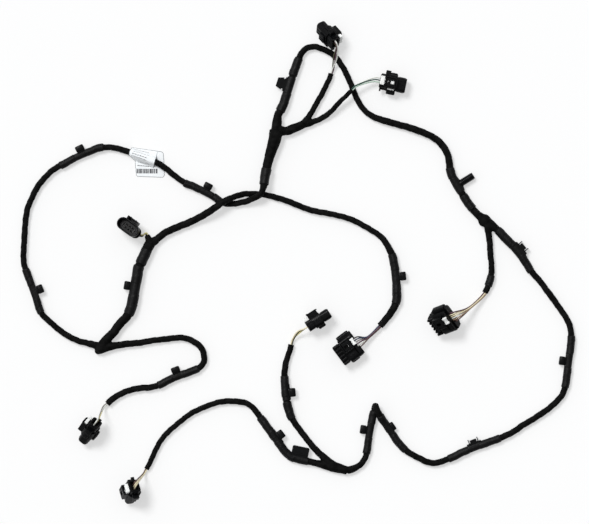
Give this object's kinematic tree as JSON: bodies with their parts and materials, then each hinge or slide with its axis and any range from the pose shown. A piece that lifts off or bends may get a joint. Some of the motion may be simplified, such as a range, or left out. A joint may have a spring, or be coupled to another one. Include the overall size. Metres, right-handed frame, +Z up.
{
  "type": "wiring harness",
  "caption": "Bumper wiring harness of cloth-taped bundles with small sealed, wide and oval connectors, tape-on clips and a flag label.",
  "frame": {"origin": "on the table under the middle of the laid-out harness", "axes": "+X along the long side of the layout, +Y across it, +Z up from the table"},
  "size_m": [0.6368, 0.5542, 0.0365],
  "materials": {
    "cloth_tape": "matt black cloth tape",
    "smooth_tape": "smooth black vinyl tape",
    "black_plastic": "moulded black plastic, satin",
    "white_plastic": "moulded white plastic",
    "wire_insulation": "smooth coloured insulation",
    "pin_metal": "plated pins",
    "label_film": "white printed film"
  },
  "bodies": {
    "root": {"wrap_lower_left": "smooth_tape", "wrap_three_way": "smooth_tape", "wrap_top": "smooth_tape", "wrap_top_fork": "smooth_tape", "wrap_right": "smooth_tape", "wrap_bottom": "smooth_tape", "loop_bundle": "cloth_tape", "trunk_bundle": "cloth_tape", "cross_bundle": "cloth_tape", "lower_left_bundle": "cloth_tape", "upper_right_bundle": "cloth_tape", "right_side_bundle": "cloth_tape", "right_drop_bundle": "cloth_tape", "top_bundle": "cloth_tape", "top_side_bundle": "cloth_tape", "centre_bundle": "cloth_tape", "bottom_left_bundle": "cloth_tape", "edge_clip_1": "black_plastic", "edge_clip_2": "black_plastic", "edge_clip_3": "black_plastic", "edge_clip_4": "black_plastic", "edge_clip_5": "black_plastic", "edge_clip_6": "black_plastic", "edge_clip_7": "black_plastic", "edge_clip_8": "black_plastic", "edge_clip_9": "black_plastic", "edge_clip_10": "black_plastic", "plug_clip": "black_plastic", "stud_clip": "black_plastic", "fin_clip_1": "black_plastic", "fin_clip_2": "black_plastic", "box_clip": "black_plastic", "eye_clip": "black_plastic", "top_connector": "black_plastic", "top_lock": "white_plastic", "top_wires": "wire_insulation", "top_side_connector": "black_plastic", "top_side_lock": "white_plastic", "top_side_wires": "wire_insulation", "lower_left_connector": "black_plastic", "lower_left_lock": "white_plastic", "lower_left_wires": "wire_insulation", "bottom_left_connector": "black_plastic", "bottom_left_lock": "white_plastic", "bottom_left_wires": "wire_insulation", "centre_connector": "black_plastic", "centre_lock": "white_plastic", "centre_wires": "wire_insulation", "cross_connector": "black_plastic", "cross_lock": "white_plastic", "cross_wires": "wire_insulation", "right_connector": "black_plastic", "right_lock": "white_plastic", "right_wires": "wire_insulation", "oval_connector": "black_plastic", "oval_pins": "pin_metal", "oval_wires": "wire_insulation", "label": "label_film"}
  },
  "joints": []
}
